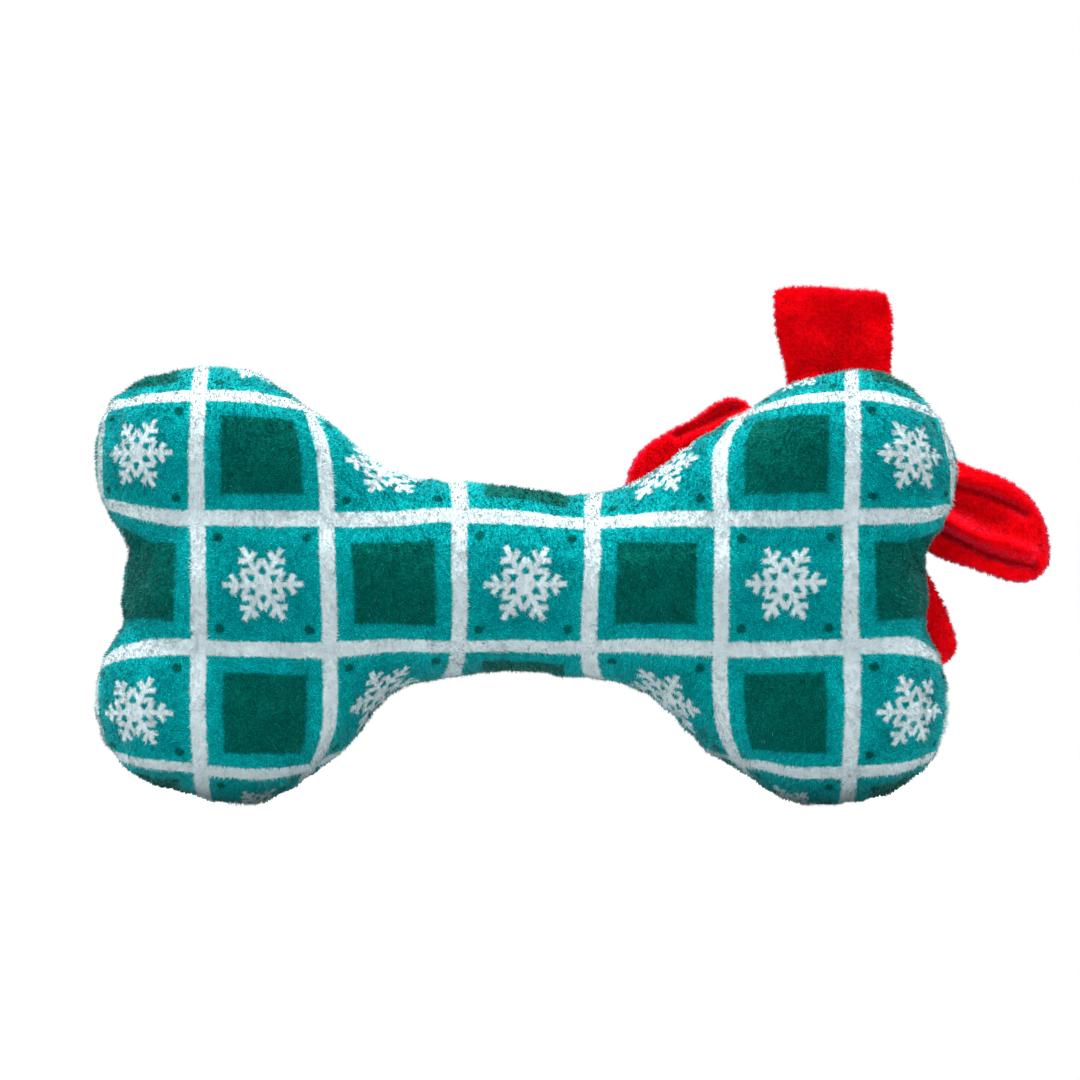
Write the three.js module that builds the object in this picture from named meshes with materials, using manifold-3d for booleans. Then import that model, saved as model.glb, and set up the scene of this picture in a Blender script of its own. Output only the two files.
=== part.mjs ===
// A stuffed plush dog toy in the shape of a bone, with a ribbon bow and a squeaker inside.
// Millimetres, +Z up. The bone stands on its two lower lobes with its length along X.
// The rear panel faces -Y and the bow is on the front panel, which faces +Y.
import * as THREE from 'three';
import Module from 'manifold-3d';
import { mergeVertices } from 'three/addons/utils/BufferGeometryUtils.js';
import { RoundedBoxGeometry } from 'three/addons/geometries/RoundedBoxGeometry.js';

const wasm = await Module();
wasm.setup();

// Driving dimensions of the stuffed bone
const bodyLength = 200;
const bodyHeight = 102;
const flatnessShare = 0.93;
const lobeRadius = 21;
const limbRootRadius = 16.5;
const hubRadius = 24;
const hubNeckRadius = 22;
const shaftRadius = 20.6;
const shaftHalfLength = 30;
const blend = 3.5;
const footFlat = 0.5;

// Fabric, seam and thread
const fabric = 1.6;
const seamAllowance = 6;
const seamInset = 1.2;
const threadDiameter = 0.8;
const seat = 0.3;
const fillSeat = 0.4;

// Facets of the stuffed forms, and how far a cutting block overruns what it cuts
const surfaceStep = 8;
const threadStep = 8;
const overrun = 10;

// Stuffing, parted where the limbs leave the shaft
const shaftFillHalfLength = 26;

// Hand-sewn closing of the stuffing gap, along the lower edge of the shaft
const closingLength = 44;
const closingStitches = 11;
const closingHalfWidth = 1.7;

// Squeaker, a hollow bulb with a reed plug in its neck
const bulbRadius = 15;
const bulbHeight = 22;
const bulbWall = 1.1;
const neckRadius = 4;
const plugFlange = 1.4;
const plugFlangeRadius = 5.6;
const plugLength = 6;
const plugBore = 1.6;
const plugRun = 0.3;
const reedWidth = 2.2;
const reedThickness = 0.4;
const reedLength = 5;

// Bow, tied from a ribbon band with a knot round its middle
const ribbon = 3;
const ribbonWidth = 27.5;
const knotWidth = 15;
const knotHeight = 19.6;
const knotDepth = 16;
const knotRound = 4;
const bowRight = 73.4;
const bowUp = 24.2;
const loopReach = 49.5;
const loopFront = 9;
const loopBack = 4.6;
const upperTailReach = 44;
const lowerTailReach = 49;
const lowerTailLean = THREE.MathUtils.degToRad(19);
const lowerTailLift = THREE.MathUtils.degToRad(4);
const tackLength = 8;

const halfLength = bodyLength / 2;
const halfHeight = bodyHeight / 2;

// Each lobe runs from an inner to an outer centre, given as shares of the half length and half height.
// Its radius is a share of lobeRadius, and its limb starts at rootShare of the half length.
const lobeShares = [
  { side: -1, level: 1, outer: [0.795, 0.56], inner: [0.68, 0.545], radius: 1, root: 0.26 },
  { side: -1, level: -1, outer: [0.795, 0.585], inner: [0.65, 0.585], radius: 0.976, root: 0.24 },
  { side: 1, level: 1, outer: [0.785, 0.538], inner: [0.68, 0.5], radius: 1.03, root: 0.27 },
  { side: 1, level: -1, outer: [0.778, 0.588], inner: [0.63, 0.58], radius: 0.985, root: 0.25 },
];
const limbRootLevelShare = 0.03;
const limbEndShare = 0.97;
const hubOuterShare = 0.68;
const hubInnerShare = 0.48;

// Distance from a point to a cone with round ends, measured in the plane of the bone.
function roundCone(point, start, end, startRadius, endRadius) {
  const along = end.clone().sub(start);
  const offset = point.clone().sub(start);
  const share = THREE.MathUtils.clamp(offset.dot(along) / along.lengthSq(), 0, 1);
  const radius = THREE.MathUtils.lerp(startRadius, endRadius, share);
  return offset.addScaledVector(along, -share).length() - radius;
}

function bodyCones() {
  const cones = [];
  const at = (x, z) => new THREE.Vector3(x, 0, z);
  cones.push([at(-shaftHalfLength, 0), at(shaftHalfLength, 0), shaftRadius, shaftRadius]);
  for (const side of [-1, 1]) {
    const outer = at(side * hubOuterShare * halfLength, 0);
    const inner = at(side * hubInnerShare * halfLength, 0);
    cones.push([outer, inner, hubRadius, hubNeckRadius]);
  }
  for (const lobe of lobeShares) {
    const radius = lobe.radius * lobeRadius;
    const outer = at(lobe.side * lobe.outer[0] * halfLength, lobe.level * lobe.outer[1] * halfHeight);
    const inner = at(lobe.side * lobe.inner[0] * halfLength, lobe.level * lobe.inner[1] * halfHeight);
    const root = at(lobe.side * lobe.root * halfLength, lobe.level * limbRootLevelShare * halfHeight);
    cones.push([inner, outer, radius, radius]);
    cones.push([root, inner, limbRootRadius, limbEndShare * radius]);
  }
  return cones;
}

const cones = bodyCones();

// Distance to the surface of the stuffed bone, negative inside; its cones melt into each other.
function bodyDistance(point) {
  const flat = new THREE.Vector3(point.x, point.y / flatnessShare, point.z);
  const sum = cones.reduce((total, cone) => total + Math.exp(-roundCone(flat, ...cone) / blend), 0);
  return -blend * Math.log(sum);
}

const slopeStep = 0.01 * blend;

function bodySlope(point) {
  const slope = new THREE.Vector3();
  for (const axis of ['x', 'y', 'z']) {
    const ahead = point.clone();
    const behind = point.clone();
    ahead[axis] += slopeStep;
    behind[axis] -= slopeStep;
    slope[axis] = (bodyDistance(ahead) - bodyDistance(behind)) / (2 * slopeStep);
  }
  return slope;
}

// Moves a point onto the surface that lies the given distance outside the bone.
function settle(point, level, free = ['x', 'y', 'z']) {
  for (let turn = 0; turn < 6; turn += 1) {
    const slope = bodySlope(point);
    for (const axis of ['x', 'y', 'z']) {
      if (!free.includes(axis)) {
        slope[axis] = 0;
      }
    }
    const miss = bodyDistance(point) - level;
    point.addScaledVector(slope, -miss / slope.lengthSq());
  }
  return point;
}

// The bone's closed surface in facets, with one vertex in each cell of a grid that the surface crosses.
function bodyFacets() {
  const counts = [halfLength, halfHeight, halfHeight].map((half) => 2 * Math.ceil(half / surfaceStep) + 3);
  const placeOf = (cell) => cell.map((index, axis) => (index - (counts[axis] - 1) / 2) * surfaceStep);
  const keyOf = (cell) => (cell[0] * counts[1] + cell[1]) * counts[2] + cell[2];
  const corners = [];
  for (let i = 0; i < counts[0]; i += 1) {
    for (let j = 0; j < counts[1]; j += 1) {
      for (let k = 0; k < counts[2]; k += 1) {
        corners.push([i, j, k]);
      }
    }
  }
  const values = corners.map((corner) => bodyDistance(new THREE.Vector3(...placeOf(corner))));
  const crossings = new Map();
  const quads = [];
  for (const start of corners) {
    for (let axis = 0; axis < 3; axis += 1) {
      const end = [...start];
      end[axis] += 1;
      const startValue = values[keyOf(start)];
      const endValue = end[axis] < counts[axis] ? values[keyOf(end)] : startValue;
      if (startValue < 0 === endValue < 0) {
        continue;
      }
      const from = new THREE.Vector3(...placeOf(start));
      const to = new THREE.Vector3(...placeOf(end));
      const crossing = from.lerp(to, startValue / (startValue - endValue));
      const cells = [[0, 0], [-1, 0], [-1, -1], [0, -1]].map((step) => {
        const cell = [...start];
        cell[(axis + 1) % 3] += step[0];
        cell[(axis + 2) % 3] += step[1];
        return keyOf(cell);
      });
      cells.forEach((cell) => crossings.set(cell, [...(crossings.get(cell) ?? []), crossing]));
      quads.push(startValue < 0 ? cells : cells.reverse());
    }
  }
  const order = new Map([...crossings.keys()].map((cell, index) => [cell, index]));
  const points = [...crossings.values()].map((found) => {
    const total = found.reduce((sum, crossing) => sum.add(crossing), new THREE.Vector3());
    return settle(total.divideScalar(found.length), 0);
  });
  const triangles = quads.flatMap((cells) => {
    const [a, b, c, d] = cells.map((cell) => order.get(cell));
    return [a, b, c, a, c, d];
  });
  return { points, triangles };
}

const facets = bodyFacets();

// The same facets, moved to the surface that lies the given distance outside the bone.
function bodySurface(level) {
  const positions = facets.points.flatMap((point) => settle(point.clone(), level).toArray());
  const geometry = new THREE.BufferGeometry();
  geometry.setAttribute('position', new THREE.Float32BufferAttribute(positions, 3));
  geometry.setIndex(facets.triangles);
  return geometry;
}

function solid(geometry) {
  const bare = geometry.clone();
  bare.deleteAttribute('normal');
  bare.deleteAttribute('uv');
  const merged = mergeVertices(bare);
  return new wasm.Manifold(new wasm.Mesh({
    numProp: 3,
    vertProperties: new Float32Array(merged.attributes.position.array),
    triVerts: new Uint32Array(merged.index.array),
  }));
}

function block(low, high) {
  const size = high.clone().sub(low);
  const middle = high.clone().add(low).multiplyScalar(0.5);
  return solid(new THREE.BoxGeometry(size.x, size.y, size.z).translate(middle.x, middle.y, middle.z));
}

const farX = halfLength + overrun;
const farY = halfHeight + overrun;
const farZ = halfHeight + overrun;

// A block that reaches past the bone everywhere but at the sides given.
function region(sides) {
  const low = new THREE.Vector3(sides.lowX ?? -farX, sides.lowY ?? -farY, sides.lowZ ?? -farZ);
  const high = new THREE.Vector3(sides.highX ?? farX, sides.highY ?? farY, sides.highZ ?? farZ);
  return block(low, high);
}

const pieces = [];

function addPiece(name, piece, material) {
  let geometry = piece;
  if (!piece.isBufferGeometry) {
    const mesh = piece.getMesh();
    geometry = new THREE.BufferGeometry();
    geometry.setAttribute('position', new THREE.Float32BufferAttribute(mesh.vertProperties, 3));
    geometry.setIndex([...mesh.triVerts]);
    geometry.computeVertexNormals();
  }
  const part = new THREE.Mesh(geometry, material);
  part.name = name;
  pieces.push(part);
}

const finish = (color, roughness) => new THREE.MeshStandardMaterial({ color, roughness, metalness: 0 });
const plush = finish(0x028c8c, 0.95);
const velour = finish(0xd00a1c, 0.85);
const sewingThread = finish(0x0a6f70, 0.6);
const redThread = finish(0xa00818, 0.6);
const fibre = finish(0xf2f2ee, 1);
const softPlastic = finish(0xf4efe2, 0.45);
const plugPlastic = finish(0xe9e9e4, 0.4);

const outside = solid(bodySurface(0));
const skinInside = solid(bodySurface(-fabric));
const seamCore = solid(bodySurface(-fabric - seamAllowance));
const fillOutside = solid(bodySurface(-fabric - fillSeat));
const fillCore = solid(bodySurface(-fabric - seamAllowance - fillSeat));
const seatSurface = solid(bodySurface(seat));

const base = outside.boundingBox().min[2] + footFlat;
const seamHalfGap = seat / 2;
const seamFace = seamHalfGap + fabric;

// Both panels have the same outline, and turn in by the seam allowance where they meet.
function panel(side) {
  const half = side > 0 ? { lowY: seamHalfGap, lowZ: base } : { highY: -seamHalfGap, lowZ: base };
  const hollow = side > 0 ? { lowY: seamFace } : { highY: -seamFace };
  return outside.intersect(region(half)).subtract(skinInside.intersect(region(hollow))).subtract(seamCore);
}

// Points round the bone at one depth, on the surface that lies the given distance outside it.
function outlineRound(level, y) {
  const points = [settle(new THREE.Vector3(0, y, shaftRadius), level, ['x', 'z'])];
  while (points.length < 3 || points.at(-1).distanceTo(points[0]) > threadStep) {
    const last = points.at(-1);
    const slope = bodySlope(last);
    const ahead = new THREE.Vector3(slope.z, 0, -slope.x).normalize();
    points.push(settle(last.clone().addScaledVector(ahead, threadStep), level, ['x', 'z']));
  }
  return points;
}

// A thread that closes on itself round the bone, with a square section.
function roundThread(level, y) {
  const points = outlineRound(level, y);
  const radius = threadDiameter / 2;
  const positions = [];
  const triangles = [];
  points.forEach((point, index) => {
    const slope = bodySlope(point).setY(0).normalize();
    const corners = [[1, 1], [1, -1], [-1, -1], [-1, 1]];
    for (const [outward, across] of corners) {
      const corner = point.clone().addScaledVector(slope, outward * radius);
      positions.push(corner.x, y + across * radius, corner.z);
    }
    const next = (index + 1) % points.length;
    for (let corner = 0; corner < 4; corner += 1) {
      const beside = (corner + 1) % 4;
      const [a, b] = [4 * index + corner, 4 * index + beside];
      const [c, d] = [4 * next + beside, 4 * next + corner];
      triangles.push(a, b, c, a, c, d);
    }
  });
  const geometry = new THREE.BufferGeometry();
  geometry.setAttribute('position', new THREE.Float32BufferAttribute(positions, 3));
  geometry.setIndex(triangles);
  geometry.computeVertexNormals();
  return geometry;
}

function openThread(points) {
  const path = new THREE.CatmullRomCurve3(points);
  const section = new THREE.Shape().absarc(0, 0, threadDiameter / 2, 0, 2 * Math.PI);
  const steps = 2 * (points.length - 1);
  return new THREE.ExtrudeGeometry(section, { steps, curveSegments: 3, extrudePath: path });
}

// One thread that crosses the seam from panel to panel, stitch by stitch.
function closingThread() {
  const points = [];
  for (let stitch = 0; stitch <= closingStitches; stitch += 1) {
    const x = (stitch / closingStitches - 0.5) * closingLength;
    const y = stitch % 2 === 0 ? closingHalfWidth : -closingHalfWidth;
    const below = new THREE.Vector3(x, y, -shaftRadius);
    points.push(settle(below, seat + threadDiameter / 2, ['z']));
  }
  return openThread(points);
}

function turned(profile, segments) {
  const points = profile.map(([radius, height]) => new THREE.Vector2(radius, height)).reverse();
  return solid(new THREE.LatheGeometry([...points, points[0].clone()], segments).rotateX(Math.PI / 2));
}

// The bulb's outer form as shares of its radius and half height, from the neck down to its middle below.
const bulbShares = [[0.6, 0.93], [0.9, 0.68], [1, 0.27], [1, -0.27], [0.9, -0.68], [0.6, -0.93]];

function bulbForm(inset) {
  const radius = bulbRadius - inset;
  const half = bulbHeight / 2 - inset;
  return bulbShares.map(([across, up]) => [across * radius, up * half]);
}

function squeakerBulb() {
  const half = bulbHeight / 2;
  const outer = [[neckRadius, half], ...bulbForm(0), [0, -half]];
  const inner = [[0, bulbWall - half], ...bulbForm(bulbWall).reverse(), [neckRadius, half - bulbWall]];
  return turned([...outer, ...inner], 20);
}

const plugTop = bulbHeight / 2 + plugRun + plugFlange;

function squeakerPlug() {
  const under = bulbHeight / 2 + plugRun;
  const stem = neckRadius - plugRun;
  const end = under - plugLength;
  return turned([
    [plugBore, plugTop],
    [plugFlangeRadius, plugTop],
    [plugFlangeRadius, under],
    [stem, under],
    [stem, end],
    [plugBore, end],
  ], 16);
}

function squeakerReed() {
  const strip = new THREE.BoxGeometry(reedWidth, reedThickness, reedLength);
  return solid(strip.translate(0, 0, plugTop - reedLength / 2));
}

// The room that the squeaker takes in the stuffing of the shaft.
function squeakerRoom() {
  const top = plugTop + seat;
  const flangeRoom = plugFlangeRadius + seat;
  const half = bulbHeight / 2 + seat;
  return turned([[0, top], [flangeRoom, top], [flangeRoom, half], ...bulbForm(-seat), [0, -half]], 20);
}

const grooveHalf = seamFace + 2 * seat + threadDiameter;
const seamGroove = region({ lowY: -grooveHalf, highY: grooveHalf }).subtract(fillCore);
const filling = fillOutside.subtract(seamGroove);

function limbFill(lobe) {
  const parting = shaftFillHalfLength + seamHalfGap;
  const sideways = lobe.side > 0 ? { lowX: parting } : { highX: -parting };
  const upright = lobe.level > 0 ? { lowZ: seamHalfGap } : { highZ: -seamHalfGap };
  return filling.intersect(region({ ...sideways, ...upright }));
}

function shaftFill(side) {
  const parting = shaftFillHalfLength - seamHalfGap;
  const depth = side > 0 ? { lowY: seamHalfGap } : { highY: -seamHalfGap };
  return filling.intersect(region({ lowX: -parting, highX: parting, ...depth })).subtract(squeakerRoom());
}

// The bow's own frame: x to the right, y away from the front panel, z up, from the knot's middle.
const knotBehind = new THREE.Vector3(bowRight, halfHeight, bowUp);
const bowDepth = settle(knotBehind, seat, ['y']).y + knotDepth / 2;
const bowPlace = new THREE.Vector3(bowRight, bowDepth, bowUp);

function smoothShape(points) {
  const outline = new THREE.Shape();
  outline.moveTo(points[0].x, points[0].y);
  outline.splineThru(points.slice(1));
  outline.closePath();
  return outline;
}

// A solid with one outline seen along Y and another seen along the axis that its depth turns about.
function facing(outline) {
  const options = { depth: 2 * knotDepth, bevelEnabled: false, curveSegments: 3 };
  return new THREE.ExtrudeGeometry(outline, options).translate(0, 0, -knotDepth).rotateX(Math.PI / 2);
}

const loopRootRadius = ribbon + seat / 2;
const loopHinge = knotWidth / 2 + seat + loopRootRadius;
const loopLength = loopReach - loopHinge;

// Seen from above, a loop leaves the knot as two layers, bellies forward and closes in a round bend.
// The points are shares of the loop's length and of its front or back depth.
const loopFullShare = 0.6;
const loopFrontShares = [[0.25, 0.55], [loopFullShare, 1], [0.9, 0.75], [1, 0.15]];
const loopBackShares = [[0.94, -0.65], [loopFullShare, -1], [0.25, -0.8]];

function loopProfile() {
  const outer = new THREE.Shape();
  const place = ([along, depth]) => {
    const reach = depth > 0 ? loopFront : loopBack;
    return new THREE.Vector2(along * loopLength, depth * reach);
  };
  const bend = [...loopFrontShares, ...loopBackShares].map(place);
  outer.moveTo(0, -loopRootRadius);
  outer.absarc(0, 0, loopRootRadius, -Math.PI / 2, -3 * Math.PI / 2, true);
  outer.splineThru(bend);
  outer.closePath();
  return outer;
}

function loopGap() {
  const start = 2 * loopRootRadius;
  const end = loopLength - ribbon;
  const front = loopFront - ribbon;
  const back = loopBack - ribbon;
  const middle = THREE.MathUtils.lerp(start, end, loopFullShare);
  const gap = new THREE.Shape();
  gap.moveTo(start, 0);
  gap.splineThru([
    new THREE.Vector2(middle, front),
    new THREE.Vector2(end, 0),
    new THREE.Vector2(middle, -back),
    new THREE.Vector2(start, 0),
  ]);
  return gap;
}

function upright(outline) {
  const options = { depth: 2 * ribbonWidth, bevelEnabled: false, curveSegments: 4 };
  return new THREE.ExtrudeGeometry(outline, options).translate(0, 0, -ribbonWidth);
}

// Seen from the front, each loop's outline, as shares of the loop's length and of the ribbon's width.
const rightLoopShares = [[-0.1, 0.27], [0.2, 0.34], [0.45, 0.17], [0.66, 0.06], [0.84, -0.12], [0.97, -0.4],
  [1, -0.68], [0.86, -0.86], [0.6, -0.82], [0.3, -0.66], [0.2, -0.48], [0.1, -0.32], [-0.1, -0.27]];
const leftLoopShares = [[-0.1, 0.29], [0.12, 0.44], [0.36, 0.66], [0.66, 0.42], [0.9, 0.13], [1, -0.08],
  [0.96, -0.4], [0.7, -0.48], [0.35, -0.42], [0.1, -0.34], [-0.1, -0.29]];

function bowLoop(side, shares) {
  const points = shares.map(([along, up]) => new THREE.Vector2(along * loopLength, up * ribbonWidth));
  const form = solid(upright(loopProfile())).subtract(solid(upright(loopGap())));
  const loop = form.intersect(solid(facing(smoothShape(points))));
  const faced = side > 0 ? loop : loop.mirror([1, 0, 0]);
  return faced.translate([bowPlace.x + side * loopHinge, bowPlace.y, bowPlace.z]);
}

const tailRootRadius = ribbon / 2;
const tailHinge = knotHeight / 2 + seat + tailRootRadius;

// A tail's edges, as shares of the ribbon's width and of the tail's length from its root.
const upperTailShares = [[0.27, -0.1], [0.33, 0.12], [0.42, 0.36], [0.4, 0.7], [0.4, 1],
  [-0.6, 1.02], [-0.54, 0.7], [-0.47, 0.34], [-0.35, 0.12], [-0.27, -0.1]];
const lowerTailShares = [[0.16, -0.1], [0.22, 0.1], [0.34, 0.25], [0.42, 0.4], [0.45, 0.67], [0.42, 0.92],
  [0.36, 1], [-0.5, 1], [-0.5, 0.6], [-0.42, 0.3], [-0.28, 0.1], [-0.2, -0.1]];

// A tail hangs from its hinge along +Z, ready to be turned to its own direction.
function bowTail(length, shares) {
  const edge = shares.map(([across, along]) => new THREE.Vector2(across * ribbonWidth, along * length));
  const outline = new THREE.Shape(edge);
  const strip = new THREE.Shape();
  strip.moveTo(length + overrun, -tailRootRadius);
  strip.lineTo(length + overrun, tailRootRadius);
  strip.lineTo(0, tailRootRadius);
  strip.absarc(0, 0, tailRootRadius, Math.PI / 2, 3 * Math.PI / 2, false);
  strip.closePath();
  const side = upright(strip).rotateY(-Math.PI / 2);
  return solid(facing(outline)).intersect(solid(side));
}

function upperTail() {
  const tail = bowTail(upperTailReach - tailHinge, upperTailShares);
  return tail.translate([bowPlace.x, bowPlace.y, bowPlace.z + tailHinge]);
}

// The lower tail leans, so its root starts lower for its nearer corner to clear the knot.
const lowerTailHinge = tailHinge + lowerTailShares[0][0] * ribbonWidth * Math.sin(lowerTailLean);

function lowerTail() {
  const tail = bowTail(lowerTailReach - lowerTailHinge, lowerTailShares);
  const degrees = THREE.MathUtils.radToDeg;
  const down = tail.rotate([180 + degrees(lowerTailLift), 0, 0]);
  const leaning = down.translate([0, 0, -lowerTailHinge]).rotate([0, -degrees(lowerTailLean), 0]);
  return leaning.translate(bowPlace.toArray());
}

// The thread that tacks the knot to the front panel lies in a hollow at the knot's back.
const tackPoints = [-tackLength / 2, 0, tackLength / 2].map((x) => {
  const behind = new THREE.Vector3(bowRight + x, halfHeight, bowUp);
  return settle(behind, seat + threadDiameter / 2, ['y']);
});
const tackRoom = threadDiameter / 2 + seat;

function bowKnot() {
  const form = new RoundedBoxGeometry(knotWidth, knotDepth, knotHeight, 2, knotRound);
  const knot = solid(form.translate(...bowPlace.toArray())).subtract(seatSurface);
  const hollow = new THREE.Box3().setFromPoints(tackPoints).expandByScalar(tackRoom);
  hollow.min.y -= overrun;
  return knot.subtract(block(hollow.min, hollow.max));
}

const seamThreadLevel = -fabric - seamInset - threadDiameter / 2;
const seamThreadDepth = seamFace + seat + threadDiameter / 2;

addPiece('rear_panel', panel(-1), plush);
addPiece('front_panel', panel(1), plush);
addPiece('seam_needle_thread', roundThread(seamThreadLevel, seamThreadDepth), sewingThread);
addPiece('seam_bobbin_thread', roundThread(seamThreadLevel, -seamThreadDepth), sewingThread);
addPiece('closing_stitch_thread', solid(closingThread()), sewingThread);
for (const lobe of lobeShares) {
  const name = `stuffing_${lobe.level > 0 ? 'upper' : 'lower'}_${lobe.side > 0 ? 'right' : 'left'}`;
  addPiece(name, limbFill(lobe), fibre);
}
addPiece('stuffing_shaft_front', shaftFill(1), fibre);
addPiece('stuffing_shaft_rear', shaftFill(-1), fibre);
addPiece('squeaker_bulb', squeakerBulb(), softPlastic);
addPiece('squeaker_plug', squeakerPlug(), plugPlastic);
addPiece('squeaker_reed', squeakerReed(), plugPlastic);
addPiece('bow_left_loop', bowLoop(-1, leftLoopShares), velour);
addPiece('bow_right_loop', bowLoop(1, rightLoopShares), velour);
addPiece('bow_upper_tail', upperTail(), velour);
addPiece('bow_lower_tail', lowerTail(), velour);
addPiece('bow_knot', bowKnot(), velour);
addPiece('bow_tack_thread', solid(openThread(tackPoints)), redThread);

// The toy's origin is on the surface that it stands on, under the middle of its outer size.
const toy = new THREE.Group();
toy.name = 'bone_shaped_dog_toy';
toy.add(...pieces);
const outerSize = new THREE.Box3().setFromObject(toy);
const middle = outerSize.getCenter(new THREE.Vector3());
toy.position.set(-middle.x, -middle.y, -outerSize.min.z);

export default toy;
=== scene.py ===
# Looks of a stuffed plush bone with a ribbon bow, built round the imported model.
# Metres, with the bone upright on its two lower lobes and its rear panel towards the camera.
from math import cos, pi, radians, sin, sqrt

import bmesh
import bpy
import numpy as np
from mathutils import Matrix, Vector
from mathutils.bvhtree import BVHTree
from numpy.linalg import norm


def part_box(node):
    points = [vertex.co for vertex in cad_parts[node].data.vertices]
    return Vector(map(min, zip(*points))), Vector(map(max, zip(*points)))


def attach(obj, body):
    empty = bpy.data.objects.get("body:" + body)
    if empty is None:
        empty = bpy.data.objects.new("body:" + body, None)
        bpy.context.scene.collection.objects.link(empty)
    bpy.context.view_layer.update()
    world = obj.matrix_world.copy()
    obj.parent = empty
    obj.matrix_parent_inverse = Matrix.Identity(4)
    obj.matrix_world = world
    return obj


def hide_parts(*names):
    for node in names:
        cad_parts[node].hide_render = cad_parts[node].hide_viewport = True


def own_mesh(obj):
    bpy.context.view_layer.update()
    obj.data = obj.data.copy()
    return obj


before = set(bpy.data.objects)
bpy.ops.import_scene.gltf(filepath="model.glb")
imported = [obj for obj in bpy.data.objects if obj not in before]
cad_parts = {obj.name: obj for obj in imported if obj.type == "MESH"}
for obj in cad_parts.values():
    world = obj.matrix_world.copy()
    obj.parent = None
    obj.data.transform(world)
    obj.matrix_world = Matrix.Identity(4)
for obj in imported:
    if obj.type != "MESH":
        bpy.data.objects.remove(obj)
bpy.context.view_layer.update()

mm = 0.001
tiny = 1e-9

# The bone's driving sizes
body_length = 200 * mm
body_height = 102 * mm
flatness_share = 0.93
lobe_radius = 21 * mm
limb_root_radius = 16.5 * mm
hub_radius = 24 * mm
hub_neck_radius = 22 * mm
shaft_radius = 20.6 * mm
shaft_half_length = 30 * mm
melt = 3.5 * mm
foot_flat = 0.5 * mm
fabric = 1.4 * mm
seam_allowance = 6 * mm
seam_half_gap = 0.15 * mm

# Each lobe: side, level, outer and inner centres and root as shares of the half length and half
# height, and radius as a share of lobe_radius.
lobes = [
    (-1, 1, (0.795, 0.56), (0.68, 0.545), 0.26, 1),
    (-1, -1, (0.795, 0.585), (0.65, 0.585), 0.24, 0.976),
    (1, 1, (0.785, 0.538), (0.68, 0.5), 0.27, 1.03),
    (1, -1, (0.778, 0.588), (0.63, 0.58), 0.25, 0.985),
]
limb_root_level_share = 0.03
limb_end_share = 0.97
hub_outer_share = 0.68
hub_inner_share = 0.48
settle_rounds = 4

# Stuffed skin. Noise is given as its strength, wavelength and seed, size by size.
skin_step = 2.2 * mm
skin_inset = 0.9 * mm
swell_room = 1.1 * mm
swell_limit = 3 * mm
swell_frames = 20
skin_cloth = dict(
    quality=5, mass=0.3, tension_stiffness=12, compression_stiffness=12, shear_stiffness=5,
    bending_stiffness=0.4, use_pressure=True, uniform_pressure_force=4, shrink_min=-0.07,
    vertex_group_mass="seam", pin_stiffness=0.6)
outline_share = 0.8
seam_tolerance = 0.02 * mm
groove_depth = 1.1 * mm
groove_width = 1.6 * mm
pucker_depth = 0.4 * mm
pucker_length = 7.5 * mm
pucker_start = 2 * mm
pucker_reach = 9 * mm
pucker_bend = [(0.5, 38 * mm, 5)]
pucker_wander = [(2.2, 26 * mm, 8)]
skin_lumps = [(0.4 * mm, 34 * mm, 3), (0.1 * mm, 11 * mm, 4)]
lump_start = 6 * mm
foot_sections = (70 * mm, 80 * mm)
floor_clearance = 0.5 * mm
floor_shoulder = 0.7 * mm

# Where the stuffing pushes the outline out: a place on it and the push, in millimetres.
outline_pushes = [
    (-96, 43, 0.7), (-83, 50, -0.5), (-54, 45, -1.2), (-43, 35, 1.2), (-31, 26, 0.4),
    (-16, 21, 2.5), (-1, 20, 2.6), (29, 24, 1.1), (41, 32, 2.4), (52, 43, -1.1), (66, 49, -0.6),
    (81, 49, 0.4), (94, 42, -0.8), (95, 14, 1.2), (92, 0, 0.4), (92, -15, 1.6), (93, -44, -0.3),
    (50, -47, -2.7), (39, -37, 1.2), (14, -20, 1.6), (-1, -20, 0.5), (-16, -21, 1.4),
    (-29, -27, -1.6), (-41, -36, 1.8), (-52, -47, -0.4), (-81, -50, -1.7), (-95, -44, -1.6),
    (-94, -15, 1.1), (-92, -1, -0.4), (-99, 28, -0.6), (92, -10, 1.5), (-93, -9, 2.2),
]
push_reach = 11 * mm

# Where the seam wanders off the middle plane: a place on it, how far and how wide, in millimetres.
seam_wanders = [(-42, 34, -6, 17), (68, 50, -3, 11), (96, -20, 2.5, 14)]
wander_depth = 24 * mm

# Stuffing: how deep the wads sink into their solids, and their lumps
wad_voxel = 1.6 * mm
wad_sink = 1.5 * mm
wad_least_sink = 0.4 * mm
wad_lumps = [(-0.5 * mm, 9 * mm, 31), (-0.3 * mm, 4 * mm, 32)]

# Threads and closing stitch
thread_voxel = 0.28 * mm
thread_radius = 0.28 * mm
closing_length = 44 * mm
closing_stitches = 11
closing_half_width = 1.5 * mm
closing_turn_share = 0.7
closing_sink = 0.2 * mm
closing_stand_off = 0.1 * mm
skin_search = 5 * mm

# Squeaker and the other kept nodes: the angle past which their edges stay sharp
sharp_angle = radians(50)

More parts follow.
